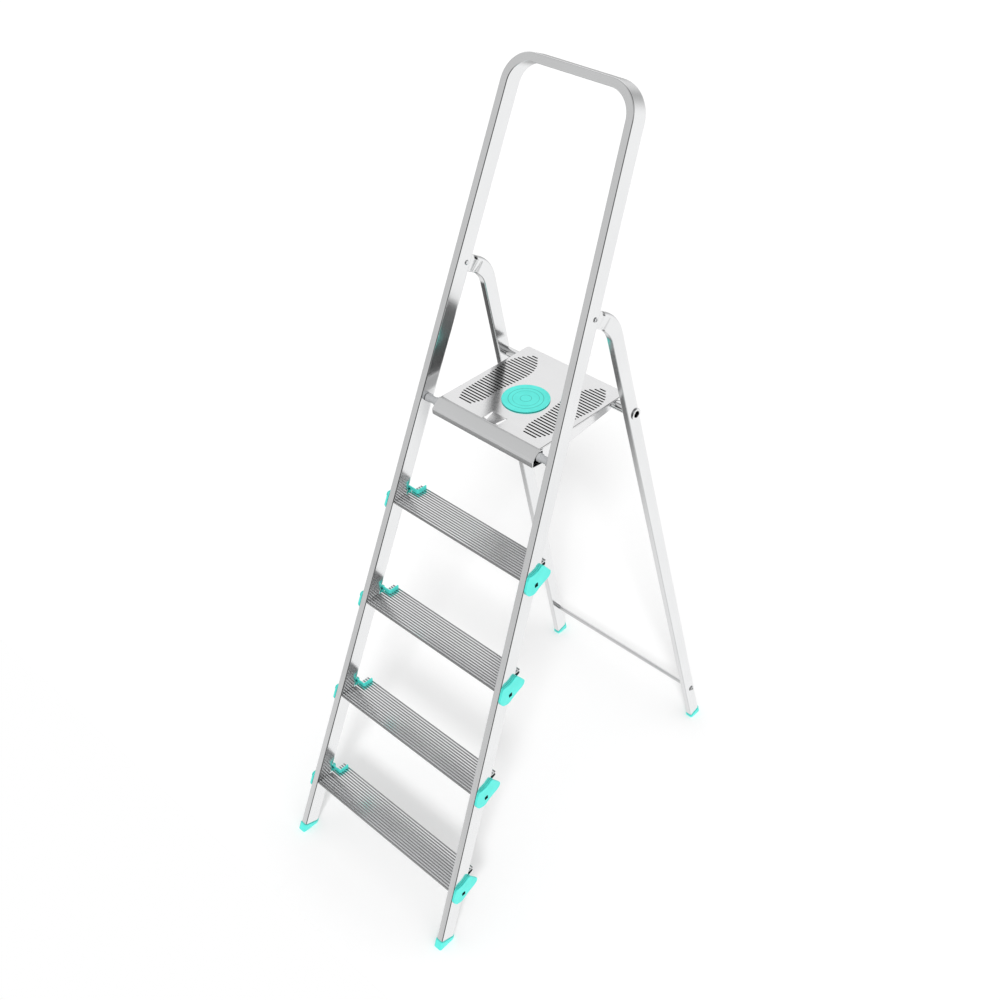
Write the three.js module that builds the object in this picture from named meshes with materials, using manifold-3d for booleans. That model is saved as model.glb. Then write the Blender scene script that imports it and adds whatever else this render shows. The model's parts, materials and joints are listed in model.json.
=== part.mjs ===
// Five-step aluminium platform ladder: bent front frame with four grooved treads, a folding
// platform on a front axle, and two rear legs that swing about rivets near the handrail.
// Units are millimetres. X runs across, -Y is the climbing side and +Z is up.
import * as THREE from "three";
import Module from "manifold-3d";
import { mergeVertices } from "three/addons/utils/BufferGeometryUtils.js";

const wasm = await Module();
wasm.setup();

// ---- driving dimensions ----
const lean = THREE.MathUtils.degToRad(20.6); // stiles lean back by this
const rearLean = THREE.MathUtils.degToRad(15.1); // rear legs lean forward by this
const treadPitch = 229.5;
const firstTreadHeight = 139;
const treadCount = 4;
const platformHeight = firstTreadHeight + treadCount * treadPitch;
const frameHalfBase = 234.7; // outer half width of the front frame at the floor
const frameLength = 1803.4; // along the stile from the floor to the top of the handrail
const frameTaper = 0.0477; // inward shift of each stile per millimetre of its length
const stileWidth = 16.6;
const stileDepth = 41;
const frameWall = 1.6;
const handrailRadius = 63;
const handrailSteps = 8;
const legHalfBase = 231.8;
const legTaper = 0.049;
const legWidth = 14.8;
const legDepth = 33.6;
const legWall = 1.5;
const rearFloorY = 903.3; // where the front face of a rear leg meets the floor
const clearance = 0.35; // between fixed pieces that touch
const runningGap = 0.08; // radial gap of a shaft in its bore
const roundSegments = 28;
const tubeCorner = 1.6; // outside radius of a tube's front corners
const tubeCornerLeast = 0.6; // and of the same corners inside the tube
const overshoot = 5; // how far a cutter reaches past what it cuts

// ---- reference frames ----
// In both leaning frames x is across, y runs up the tube and -z is depth behind its front face.
const leanMatrix = new THREE.Matrix4().makeRotationX(Math.PI / 2 - lean);
const rearMatrix = new THREE.Matrix4()
  .makeTranslation(0, rearFloorY, 0)
  .multiply(new THREE.Matrix4().makeRotationX(Math.PI / 2 + rearLean));
const leanInverse = leanMatrix.clone().invert();
const rearInverse = rearMatrix.clone().invert();

const leanPoint = (along, depth) => new THREE.Vector3(0, along, -depth).applyMatrix4(leanMatrix);
const frameHalf = (along) => frameHalfBase - frameTaper * along;
const legHalf = (along) => legHalfBase - legTaper * along;
const frontFaceY = (height) => height * Math.tan(lean);

// ---- materials ----
const satinAluminium = { color: 0xc9cbcd, metalness: 0.85, roughness: 0.38 };
const brightAluminium = { color: 0xdcdde0, metalness: 0.9, roughness: 0.28 };
const steel = { color: 0x9a9da1, metalness: 1, roughness: 0.25 };
const turquoisePlastic = { color: 0x4fe8d8, metalness: 0, roughness: 0.42 };
const greyPlastic = { color: 0xb9bcbf, metalness: 0, roughness: 0.5 };

const group = new THREE.Group();

// ---- solids ----
function signedVolume(geometry) {
  const corner = geometry.getAttribute("position");
  const order = geometry.index;
  const [a, b, c] = [new THREE.Vector3(), new THREE.Vector3(), new THREE.Vector3()];
  let volume = 0;
  for (let i = 0; i < order.count; i += 3) {
    a.fromBufferAttribute(corner, order.getX(i));
    b.fromBufferAttribute(corner, order.getX(i + 1));
    c.fromBufferAttribute(corner, order.getX(i + 2));
    volume += a.dot(b.cross(c)) / 6;
  }
  return volume;
}

function solid(source) {
  const bare = source.clone();
  bare.deleteAttribute("normal");
  bare.deleteAttribute("uv");
  const welded = mergeVertices(bare, 1e-4);
  const triangles = Uint32Array.from(welded.index.array);
  if (signedVolume(welded) < 0) {
    for (let i = 0; i < triangles.length; i += 3) {
      [triangles[i], triangles[i + 1]] = [triangles[i + 1], triangles[i]];
    }
  }
  return new wasm.Manifold(new wasm.Mesh({
    numProp: 3,
    vertProperties: Float32Array.from(welded.getAttribute("position").array),
    triVerts: triangles,
  }));
}

function surface(body) {
  const mesh = body.getMesh();
  const geometry = new THREE.BufferGeometry();
  geometry.setAttribute("position", new THREE.BufferAttribute(Float32Array.from(mesh.vertProperties), 3));
  geometry.setIndex(new THREE.BufferAttribute(Uint32Array.from(mesh.triVerts), 1));
  return geometry;
}

function addPiece(name, body, look) {
  const piece = new THREE.Mesh(surface(body), new THREE.MeshStandardMaterial(look));
  piece.name = name;
  group.add(piece);
}

function box(low, high) {
  const geometry = new THREE.BoxGeometry(high[0] - low[0], high[1] - low[1], high[2] - low[2]);
  geometry.translate((low[0] + high[0]) / 2, (low[1] + high[1]) / 2, (low[2] + high[2]) / 2);
  return solid(geometry);
}

// The left-hand twin of a right-hand piece.
function mirrored(body) {
  const geometry = surface(body);
  geometry.scale(-1, 1, 1);
  return solid(geometry);
}

// A turned piece on an axis along X. Each profile pair is [distance along X, radius].
function turned(profile, y, z) {
  const outline = profile.map(([along, radius]) => new THREE.Vector2(radius, along));
  const geometry = new THREE.LatheGeometry(outline, roundSegments);
  geometry.rotateZ(-Math.PI / 2);
  geometry.translate(0, y, z);
  return solid(geometry);
}

function rod(radius, from, to, y, z) {
  return turned([[from, 0], [from, radius], [to, radius], [to, 0]], y, z);
}

// A prism whose section is drawn in depth (Y) and height (Z) and which runs across X.
function prismAcross(section, halfWidth, holes = []) {
  const shape = new THREE.Shape(section.map(([y, z]) => new THREE.Vector2(y, z)));
  shape.holes = holes.map((hole) => new THREE.Path(hole.map(([y, z]) => new THREE.Vector2(y, z))));
  const geometry = new THREE.ExtrudeGeometry(shape, { depth: 2 * halfWidth, bevelEnabled: false });
  geometry.translate(0, 0, -halfWidth);
  const swap = new THREE.Matrix4().makeBasis(
    new THREE.Vector3(0, 1, 0), new THREE.Vector3(0, 0, 1), new THREE.Vector3(1, 0, 0));
  geometry.applyMatrix4(swap);
  return solid(geometry);
}

// Skins a stack of equal rings of points and closes both ends.
function loft(rings) {
  const count = rings[0].length;
  const positions = rings.flat().flatMap((point) => [point.x, point.y, point.z]);
  const index = [];
  for (let ring = 0; ring < rings.length - 1; ring += 1) {
    for (let i = 0; i < count; i += 1) {
      const [a, b] = [ring * count + i, ring * count + ((i + 1) % count)];
      index.push(a, b, b + count, a, b + count, a + count);
    }
  }
  const last = (rings.length - 1) * count;
  for (let i = 1; i < count - 1; i += 1) {
    index.push(0, i + 1, i, last, last + i, last + i + 1);
  }
  const geometry = new THREE.BufferGeometry();
  geometry.setAttribute("position", new THREE.Float32BufferAttribute(positions, 3));
  geometry.setIndex(index);
  return solid(geometry);
}

// Tube section with a flat front and a rounded back: pairs of [inset from outer side, depth].
// grow pushes the whole outline outwards.
function tubeSection(width, depth, grow = 0) {
  const frontRadius = Math.max(tubeCorner + grow, tubeCornerLeast);
  const backRadius = width / 2 + grow;
  const backCentre = depth - width / 2;
  const points = [];
  const corner = (x, y, radius, start, end, steps) => {
    for (let i = 0; i <= steps; i += 1) {
      const turn = start + (end - start) * (i / steps);
      points.push([x + radius * Math.cos(turn), y + radius * Math.sin(turn)]);
    }
  };
  corner(width + grow - frontRadius, frontRadius - grow, frontRadius, -Math.PI / 2, 0, 2);
  corner(width / 2, backCentre, backRadius, 0, Math.PI, 8);
  corner(frontRadius - grow, frontRadius - grow, frontRadius, Math.PI, 1.5 * Math.PI, 2);
  return points;
}

// ---- front frame: two stiles and the handrail in one bent tube ----
// Outer edge of the frame as points with inward normals, from the right foot round to the left.
function frameEdge(startAlong) {
  const tilt = Math.atan(frameTaper);
  const stations = [];
  const topHalf = frameHalf(frameLength);
  const trim = handrailRadius * Math.tan((Math.PI / 2 - tilt) / 2);
  const bendCentre = new THREE.Vector2(topHalf - trim, frameLength - handrailRadius);
  stations.push([new THREE.Vector2(frameHalf(startAlong), startAlong), 0]);
  for (let i = 0; i <= handrailSteps; i += 1) {
    const turn = tilt + (Math.PI / 2 - tilt) * (i / handrailSteps);
    const outward = new THREE.Vector2(Math.cos(turn), Math.sin(turn));
    stations.push([bendCentre.clone().addScaledVector(outward, handrailRadius), turn]);
  }
  const right = stations.map(([point, turn]) => ({
    point,
    inward: new THREE.Vector2(-Math.cos(turn), -Math.sin(turn)),
  }));
  const left = right.map(({ point, inward }) => ({
    point: new THREE.Vector2(-point.x, point.y),
    inward: new THREE.Vector2(-inward.x, inward.y),
  }));
  return right.concat(left.reverse());
}

function frameLoft(startAlong, grow) {
  const section = tubeSection(stileWidth, stileDepth, grow);
  return loft(frameEdge(startAlong).map(({ point, inward }) => section.map(([inset, depth]) =>
    new THREE.Vector3(point.x + inward.x * inset, point.y + inward.y * inset, -depth)
      .applyMatrix4(leanMatrix))));
}

const stileEnd = 20; // the tube stops here, on its foot
const pivotAlong = 1402; // rivet of the rear leg, up the stile
const pivotDepth = 26.6;
const pivot = leanPoint(pivotAlong, pivotDepth);
const rivetRadius = 3;
const eyeThickness = 4.2; // of the flattened end of a rear leg, which turns inside the stile
const eyeMiddle = frameHalf(pivotAlong) - stileWidth / 2;
const eyeSlotGap = 2; // either side of the eye
const eyeSlotBelow = 42; // the slot's reach down the stile from the pivot, which lets the leg fold
const eyeSlotAbove = 19;
const axleAlong = 1120.7;
const axleDepth = 18.2;
const axle = leanPoint(axleAlong, axleDepth);
const axleRadius = 4;
const pegDrop = 17.6; // tread surface to the middle of the clip's square peg
const pegSetback = 25; // tread front to the middle of the peg
const pegSide = 9.8;
const pegWall = 1;
const pegReach = 16; // into the end of the tread
const pegFloor = 3; // thickness left at the inner end of the peg's square socket

const treadHeights = Array.from({ length: treadCount }, (_, i) => firstTreadHeight + i * treadPitch);

function pegBlock(height, side, inner, outer) {
  const y = frontFaceY(height) + pegSetback;
  const z = height - pegDrop;
  return box([inner, y - side / 2, z - side / 2], [outer, y + side / 2, z + side / 2]);
}

// Opening in the back of the right-hand stile where the rear leg's eye goes in.
function eyeSlot() {
  const half = eyeThickness / 2 + eyeSlotGap;
  const cutter = surface(box(
    [eyeMiddle - half, pivotAlong - eyeSlotBelow, -stileDepth - overshoot],
    [eyeMiddle + half, pivotAlong + eyeSlotAbove, stileWidth / 2 - stileDepth]));
  return solid(cutter.applyMatrix4(leanMatrix));
}

function buildFrontFrame() {
  let frame = frameLoft(stileEnd, 0).subtract(frameLoft(stileEnd - overshoot, -frameWall));
  const across = frameHalfBase + overshoot;
  frame = frame.subtract(rod(rivetRadius + runningGap, -across, across, pivot.y, pivot.z));
  frame = frame.subtract(eyeSlot()).subtract(mirrored(eyeSlot()));
  const innerWall = frameHalf(axleAlong) - stileWidth / 2;
  frame = frame.subtract(rod(axleRadius + runningGap, -innerWall, innerWall, axle.y, axle.z));
  for (const height of treadHeights) {
    frame = frame.subtract(pegBlock(height, pegSide + 2 * clearance, -across, across));
  }
  addPiece("front_frame", frame, satinAluminium);
}

// ---- treads ----
const treadDepth = 78.5;
const treadWall = 2.2;
const treadEase = 0.8; // on the top edges
const grooveCount = 13;
const grooveWidth = 2.7;
const grooveDepth = 1.6;
const groovePitch = 6.1;

// Underside from the thin nose to the keel, which holds the clips' pegs, and up to the rear edge,
// and the two hollows either side of the inner web. Pairs are [behind the front edge, below the top].
const treadUnderside = [[0, 2.8], [19, 25], [21, 25.5], [33, 25.5], [77.5, 12], [78.5, 11]];
const treadHollows = [
  [[4.4, grooveDepth + treadWall], [20.2, 23.3], [33, 23.3], [36, 22.4], [36, grooveDepth + treadWall]],
  [[38.2, grooveDepth + treadWall], [38.2, 21.8], [76.3, 10.3], [76.3, grooveDepth + treadWall]],
];

function treadOutline() {
  const firstGroove = (treadDepth - (grooveCount - 1) * groovePitch) / 2;
  const top = [];
  for (let i = grooveCount - 1; i >= 0; i -= 1) {
    const centre = firstGroove + i * groovePitch;
    top.push([centre + grooveWidth / 2, 0], [centre + grooveWidth / 2, grooveDepth]);
    top.push([centre - grooveWidth / 2, grooveDepth], [centre - grooveWidth / 2, 0]);
  }
  return [
    [0, treadEase], ...treadUnderside,
    [treadDepth, treadEase], [treadDepth - treadEase, 0], ...top, [treadEase, 0],
  ];
}

function buildTreads() {
  treadHeights.forEach((height, i) => {
    const frontY = frontFaceY(height);
    const place = ([back, drop]) => [frontY + back, height - drop];
    const highestAlong = (height + treadDepth * Math.sin(lean)) / Math.cos(lean);
    const halfWidth = frameHalf(highestAlong) - stileWidth - clearance;
    const body = prismAcross(
      treadOutline().map(place), halfWidth, treadHollows.map((hollow) => hollow.map(place)));
    addPiece(`tread_${i + 1}`, body, brightAluminium);
  });
}

// ---- clips that lock each tread and catch the folded rear leg ----
const clipThickness = 5.2;
const clipLip = 1.2; // extra thickness of the raised rim along the curved top edge
const clipWeb = 2.6;
const clipRise = 10; // the catch stands this far above the tread
const catchFront = 51; // catch position behind the tread's front edge
const catchRear = 77;
const catchInset = 37; // stile's outer face to the inner side of the catch
const lowerWebDrop = 13.6; // the web behind the stile starts this far below the tread's top
const lowerWebWidth = 14.6;
const bond = 1; // pieces of one moulding sink this far into each other
const clipCurveSteps = 5;

// Both outlines of a clip are drawn about its peg: depth behind the stile's front face, then height.
function drawClipTop(shape) {
  shape.lineTo(0, 17);
  shape.quadraticCurveTo(0, 21, 4, 22);
  shape.quadraticCurveTo(22, 26, 30, 37);
  shape.quadraticCurveTo(33, 42, 39, 40.5);
}

function clipPlate() {
  const shape = new THREE.Shape();
  shape.moveTo(0, -9);
  drawClipTop(shape);
  shape.lineTo(65, 25);
  shape.quadraticCurveTo(70, 21, 67, 13);
  shape.quadraticCurveTo(64, 8, 58, 4);
  shape.quadraticCurveTo(44, -6, 35, -17);
  shape.quadraticCurveTo(30, -22, 22, -22);
  shape.lineTo(16, -22);
  shape.quadraticCurveTo(6, -19, 0, -9);
  return shape;
}

function clipRim() {
  const shape = new THREE.Shape();
  shape.moveTo(0, 13);
  drawClipTop(shape);
  shape.lineTo(40, 33);
  shape.quadraticCurveTo(30, 21, 0, 13);
  return shape;
}

function clipLayer(shape, from, to) {
  const geometry = new THREE.ExtrudeGeometry(shape, {
    depth: to - from, bevelEnabled: false, curveSegments: clipCurveSteps,
  });
  geometry.translate(0, 0, from);
  geometry.rotateY(Math.PI / 2);
  return geometry;
}

function rightClip(height) {
  const pegY = frontFaceY(height) + pegSetback;
  const pegPoint = new THREE.Vector3(0, pegY, height - pegDrop).applyMatrix4(leanInverse);
  const along = pegPoint.y;
  const onFace = new THREE.Matrix4()
    .makeTranslation(frameHalf(along), along, 0)
    .multiply(new THREE.Matrix4().makeRotationZ(Math.atan(frameTaper)))
    .premultiply(leanMatrix);
  const plate = clipLayer(clipPlate(), clearance, clipThickness).applyMatrix4(onFace);
  const rim = clipLayer(clipRim(), clipThickness / 2, clipThickness + clipLip).applyMatrix4(onFace);
  const front = frontFaceY(height);
  const outer = frameHalf(along);
  const root = outer + clearance + bond;
  const catchX = outer - catchInset;
  const low = height + clearance;
  const high = height + clipRise;
  const webRear = front + catchFront + clipWeb;
  const innerArm = box([catchX, front + catchFront, low], [catchX + clipWeb, front + catchRear, high]);
  const crossWeb = box([catchX, front + catchFront, low], [root, webRear, high]);
  const lowerWeb = box(
    [outer - lowerWebWidth, front + catchFront, height - lowerWebDrop], [root, webRear, high]);
  const pegInner = outer - stileWidth - pegReach;
  const peg = pegBlock(height, pegSide, pegInner, root);
  const socket = pegBlock(
    height, pegSide - 2 * pegWall, pegInner + pegFloor, outer + 2 * clipThickness);
  return solid(plate).add(solid(rim)).add(innerArm).add(crossWeb).add(lowerWeb).add(peg).subtract(socket);
}

function buildClips() {
  treadHeights.forEach((height, i) => {
    const clip = rightClip(height);
    addPiece(`tread_clip_right_${i + 1}`, clip, turquoisePlastic);
    addPiece(`tread_clip_left_${i + 1}`, mirrored(clip), turquoisePlastic);
  });
}

// ---- platform ----
const plateHalf = 131;
const plateFrontY = 415;
const plateRearY = 673;
const plateSheet = 2.4;
const flangeFrontY = 424;
const flangeFrontDrop = 37.5;
const flangeRearY = 627;
const flangeRearDrop = 16;
const flangeEase = 3; // on the rear corner of a flange
const rearLipDrop = 11;
const rearLipInset = 8;
const slotRows = 27;
const slotPitch = 8.08;
const slotWidth = 3.2;
const firstSlotY = 438.5;
const badgeRadius = 48.5;
const badgeHeight = 2.4;
const badgeEase = 0.8;
const badgeRim = 4; // width of its raised rim
const badgeFace = 1.9; // height inside the rim
const badgeSegments = 48;
const badgeCentreY = 521.5;
const plateCorner = 5;
const tongueRootY = 447;
const tongueTipY = 417.5;
const tongueHalfRoot = 17.5;
const tongueHalfTip = 10.5;
const tongueSlitWidth = 2; // where the slit starts, at the root

// Inner and outer edge of the footprint of slots at eleven even stations from heel to toe.
const soleEdges = [
  [69, 102], [60, 114], [59.5, 115], [62, 115], [60, 116], [57, 118],
  [54.5, 121], [53, 123], [56, 122], [65, 115], [83, 98],
];

function soleSpan(fraction) {
  const scaled = fraction * (soleEdges.length - 1);
  const cell = Math.min(Math.floor(scaled), soleEdges.length - 2);
  const [near, far] = [soleEdges[cell], soleEdges[cell + 1]];
  return near.map((edge, k) => THREE.MathUtils.lerp(edge, far[k], scaled - cell));
}

// Right through the sheet, with round ends.
function slot(inner, outer, y) {
  const r = slotWidth / 2;
  const outline = new THREE.Shape();
  outline.absarc(outer - r, y, r, -Math.PI / 2, Math.PI / 2);
  outline.absarc(inner + r, y, r, Math.PI / 2, 1.5 * Math.PI);
  return plateCutter(outline);
}

// Slit that frees one side of the pressed tongue; it widens towards the tongue's narrow tip.
function tongueSlit(side) {
  const outline = new THREE.Shape([
    new THREE.Vector2(side * tongueHalfRoot, tongueRootY),
    new THREE.Vector2(side * (tongueHalfRoot + tongueSlitWidth), tongueRootY),
    new THREE.Vector2(side * (tongueHalfRoot + tongueSlitWidth), tongueTipY),
    new THREE.Vector2(side * tongueHalfTip, tongueTipY),
  ]);
  return plateCutter(outline);
}

function plateCutter(outline) {
  const geometry = new THREE.ExtrudeGeometry(outline, {
    depth: 3 * plateSheet, bevelEnabled: false, curveSegments: 2,
  });
  geometry.translate(0, 0, platformHeight - 2 * plateSheet);
  return solid(geometry);
}

function plateCutters() {
  const cutters = [tongueSlit(-1), tongueSlit(1)];
  for (let row = 0; row < slotRows; row += 1) {
    const [inner, outer] = soleSpan(row / (slotRows - 1));
    const y = firstSlotY + row * slotPitch;
    cutters.push(slot(inner, outer, y), slot(-outer, -inner, y));
  }
  return cutters;
}

function plateOutline() {
  const shape = new THREE.Shape();
  shape.moveTo(-plateHalf, plateFrontY);
  shape.lineTo(plateHalf, plateFrontY);
  shape.lineTo(plateHalf, plateRearY - plateCorner);
  shape.quadraticCurveTo(plateHalf, plateRearY, plateHalf - plateCorner, plateRearY);
  shape.lineTo(plateCorner - plateHalf, plateRearY);
  shape.quadraticCurveTo(-plateHalf, plateRearY, -plateHalf, plateRearY - plateCorner);
  return shape;
}

function sideFlange(side) {
  const under = platformHeight - plateSheet / 2;
  const front = platformHeight - flangeFrontDrop;
  const rear = platformHeight - flangeRearDrop;
  const section = [
    [flangeFrontY, under], [flangeFrontY, front + flangeEase], [flangeFrontY + 2 * flangeEase, front],
    [flangeRearY - flangeEase, rear], [flangeRearY, rear + flangeEase], [flangeRearY, under],
  ];
  const flange = surface(prismAcross(section, plateSheet / 2));
  flange.translate(side * (plateHalf - plateSheet / 2), 0, 0);
  return solid(flange);
}

function buildPlate() {
  const sheet = new THREE.ExtrudeGeometry(plateOutline(), {
    depth: plateSheet, bevelEnabled: false, curveSegments: 3,
  });
  sheet.translate(0, 0, platformHeight - plateSheet);
  const lipHalf = plateHalf - rearLipInset;
  const rearLip = box(
    [-lipHalf, plateRearY - plateSheet, platformHeight - rearLipDrop],
    [lipHalf, plateRearY, platformHeight - plateSheet / 2]);
  const pressed = solid(sheet).add(sideFlange(-1)).add(sideFlange(1)).add(rearLip);
  const plate = plateCutters().reduce((body, cutter) => body.subtract(cutter), pressed);
  addPiece("platform_plate", plate, brightAluminium);
}

// Hollow wedge that forms the platform's front edge. Its section is drawn as pairs of
// [distance behind the plate's front edge, drop below the plate's top].
const nosingHalf = 133;
const nosingOutline = [
  [-0.6, 0.6], [-20.5, 16.5], [-22.4, 19], [-21.4, 31.5], [-19, 34], [7, 36.4], [8.6, 35],
  [8.6, plateSheet + clearance], [-0.6, plateSheet + clearance],
];
const nosingHollow = [[-2.6, 5.1], [-18.6, 17.6], [-19.6, 31], [6.8, 34], [6.8, 5.1]];

function buildNosing() {
  const place = ([back, drop]) => [plateFrontY + back, platformHeight - drop];
  const body = prismAcross(nosingOutline.map(place), nosingHalf, [nosingHollow.map(place)]);
  addPiece("platform_nosing", body, satinAluminium);
}

function buildBadge() {
  const base = platformHeight + clearance;
  const profile = [
    [0, 0], [badgeRadius - badgeEase, 0], [badgeRadius, badgeEase], [badgeRadius, badgeHeight - badgeEase],
    [badgeRadius - badgeEase, badgeHeight], [badgeRadius - badgeRim, badgeHeight],
    [badgeRadius - badgeRim - badgeEase, badgeFace], [0, badgeFace],
  ];
  const outline = profile.map(([radius, height]) => new THREE.Vector2(radius, height));
  const geometry = new THREE.LatheGeometry(outline, badgeSegments);
  geometry.rotateX(Math.PI / 2);
  geometry.translate(0, badgeCentreY, base);
  addPiece("platform_badge", solid(geometry), turquoisePlastic);
}

const bushRadius = 9;
const spigotRadius = 5.8;
const spigotLength = 22; // of the bush inside the nosing
const axleProud = 3; // the axle ends this far inside each stile's wall

function buildPlatformHinge() {
  const stileInner = frameHalf(axleAlong) - stileWidth;
  const axleHalf = stileInner + frameWall + axleProud;
  addPiece("platform_axle", rod(axleRadius, -axleHalf, axleHalf, axle.y, axle.z), steel);
  const bore = axleRadius + runningGap;
  const from = nosingHalf + clearance;
  const to = stileInner - clearance - bushRadius * frameTaper;
  const spigotEnd = nosingHalf - spigotLength;
  const bush = turned([
    [spigotEnd, bore], [spigotEnd, spigotRadius], [from, spigotRadius], [from, bushRadius],
    [to, bushRadius], [to, bore], [spigotEnd, bore],
  ], axle.y, axle.z);
  addPiece("platform_bush_right", bush, greyPlastic);
  addPiece("platform_bush_left", mirrored(bush), greyPlastic);
}

// ---- rear legs ----
const legEnd = 6; // the tube stops here, on its foot
const bendRadius = 80; // to the middle of the tube
const bendTurn = Math.PI / 4;
const bendSteps = 10;
const neckSteps = 9; // on the straight neck above the bend
const creaseStart = 37.75; // the tube begins to flatten this far from its pivot
const creaseEnd = 30.75;
const creaseSlant = 0.67; // the crease runs down the neck by this much per millimetre of its depth
const eyeTurns = [0.5, 0.85, 1.15, 1.4]; // where the eye's rounded end has its stations

// The straight neck points at the pivot, which fixes its length and where the tube starts to bend.
const eye = pivot.clone().setX(0).applyMatrix4(rearInverse);
const bendMiddle = legDepth / 2 - bendRadius * (1 - Math.cos(bendTurn));
const neckRise = (bendMiddle + eye.z) / Math.tan(bendTurn);
const neckLength = neckRise / Math.cos(bendTurn);
const bendStart = eye.y - neckRise - bendRadius * Math.sin(bendTurn);

// Stations up the leg: middle of the tube, how far it has turned forward, how far it still has to
// go to the pivot, and its depth.
function legStations(startAlong) {
  const stations = [
    { along: startAlong, middle: legDepth / 2, turn: 0, fromEye: Infinity, depth: legDepth },
  ];
  for (let i = 0; i <= bendSteps; i += 1) {
    const turn = bendTurn * (i / bendSteps);
    const along = bendStart + bendRadius * Math.sin(turn);
    const middle = legDepth / 2 - bendRadius * (1 - Math.cos(turn));
    const fromEye = neckLength + bendRadius * (bendTurn - turn);
    stations.push({ along, middle, turn, fromEye, depth: legDepth });
  }
  const onNeck = (fromEye, depth) => stations.push({
    along: eye.y - fromEye * Math.cos(bendTurn),
    middle: fromEye * Math.sin(bendTurn) - eye.z,
    turn: bendTurn,
    fromEye,
    depth,
  });
  for (let step = 1; step <= neckSteps; step += 1) {
    onNeck(neckLength * (1 - step / neckSteps), legDepth);
  }
  for (const angle of eyeTurns) {
    onNeck(-legDepth / 2 * Math.sin(angle), legDepth * Math.cos(angle));
  }
  return stations;
}

// From 0 where the tube has its full width to 1 where it is flattened into the eye.
function flatness(fromEye, reach) {
  const past = creaseStart - creaseSlant * reach - fromEye;
  return THREE.MathUtils.clamp(past / (creaseStart - creaseEnd), 0, 1);
}

function legLoft(stations, grow) {
  const section = tubeSection(legWidth, legDepth, grow);
  return loft(stations.map(({ along, middle, turn, fromEye, depth }) => (
    section.map(([inset, sectionDepth]) => {
      const reach = (sectionDepth / legDepth - 0.5) * depth;
      const inTube = legHalf(along) - inset;
      const inEye = eyeMiddle + (0.5 - inset / legWidth) * eyeThickness;
      return new THREE.Vector3(
        THREE.MathUtils.lerp(inTube, inEye, flatness(fromEye, reach)),
        along + reach * Math.sin(turn),
        -middle - reach * Math.cos(turn)).applyMatrix4(rearMatrix);
    }))));
}

const supportTube = { y: 643, z: 1044, radius: 10, bore: 7.2, collar: 12.4 };
const braceTube = { y: 895.4, z: 107.8, radius: 5, bore: 3.4, collar: 7.2 };
const flareThickness = 2; // of the collar formed at each end of a cross tube
const flareLip = 1.4; // from the bore to the crest of the collar
const flareEase = 0.9;

function buildRearLegs() {
  const outside = legLoft(legStations(legEnd), 0);
  const belowCrease = legStations(legEnd - overshoot)
    .filter(({ fromEye }) => fromEye > creaseStart + creaseSlant * legDepth / 2);
  const hollow = legLoft(belowCrease, -legWall);
  const across = legHalfBase + overshoot;
  let leg = outside.subtract(hollow);
  for (const { y, z, radius } of [supportTube, braceTube]) {
    leg = leg.subtract(rod(radius + runningGap, 0, across, y, z));
  }
  leg = leg.subtract(rod(rivetRadius + runningGap, 0, across, pivot.y, pivot.z));
  addPiece("rear_leg_right", leg, satinAluminium);
  addPiece("rear_leg_left", mirrored(leg), satinAluminium);
}

// A tube across both rear legs whose ends are flared over the outer faces.
function crossTube({ y, z, radius, bore, collar }) {
  const along = new THREE.Vector3(0, y, z).applyMatrix4(rearInverse).y;
  const face = legHalf(along) + clearance + collar * legTaper;
  const tip = face + flareThickness;
  return turned([
    [-tip, bore], [-tip, bore + flareLip], [flareEase - tip, collar], [-face, collar],
    [-face, radius], [face, radius], [face, collar], [tip - flareEase, collar],
    [tip, bore + flareLip], [tip, bore], [-tip, bore],
  ], y, z);
}

function buildCrossTubes() {
  addPiece("platform_support_tube", crossTube(supportTube), brightAluminium);
  addPiece("rear_brace_tube", crossTube(braceTube), brightAluminium);
}

// Both ends of a rivet as pairs of [distance past the stile's side, radius].
const rivetTail = [[1.6, 0], [1.6, 2.6], [1, 4.6], [0, 5.2]];
const rivetHead = [[0, 5.2], [0.8, 5], [1.5, 3.6], [1.1, 2.6], [1.1, 0]];

function buildPivotRivets() {
  const outer = frameHalf(pivotAlong);
  const gap = clearance + rivetHead[0][1] * frameTaper;
  const inside = outer - stileWidth - gap;
  const outside = outer + gap;
  const rivet = turned([
    ...rivetTail.map(([past, radius]) => [inside - past, radius]),
    [inside, rivetRadius], [outside, rivetRadius],
    ...rivetHead.map(([past, radius]) => [outside + past, radius]),
  ], pivot.y, pivot.z);
  addPiece("pivot_rivet_right", rivet, steel);
  addPiece("pivot_rivet_left", mirrored(rivet), steel);
}

// ---- feet ----
const footSkin = 1.7; // the foot stands this far outside its tube
const plugLength = 24;
const plugRoot = 2; // the plug starts this far inside the foot

function straightTube(matrix, halfAt, section, from, to) {
  return loft([from, to].map((along) => section.map(([inset, depth]) =>
    new THREE.Vector3(halfAt(along) - inset, along, -depth).applyMatrix4(matrix))));
}

// A cup under the tube, cut off level with the floor, and a plug inside the tube.
function foot(matrix, halfAt, width, depth, wall, end) {
  const cup = straightTube(
    matrix, halfAt, tubeSection(width, depth, footSkin), end - 2 * depth, end - clearance);
  const plug = straightTube(
    matrix, halfAt, tubeSection(width, depth, -wall - clearance), end - plugRoot, end + plugLength);
  const reach = 2 * rearFloorY;
  const ground = box([-reach, -reach, -reach], [reach, reach, 0]);
  return cup.subtract(ground).add(plug);
}

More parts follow.
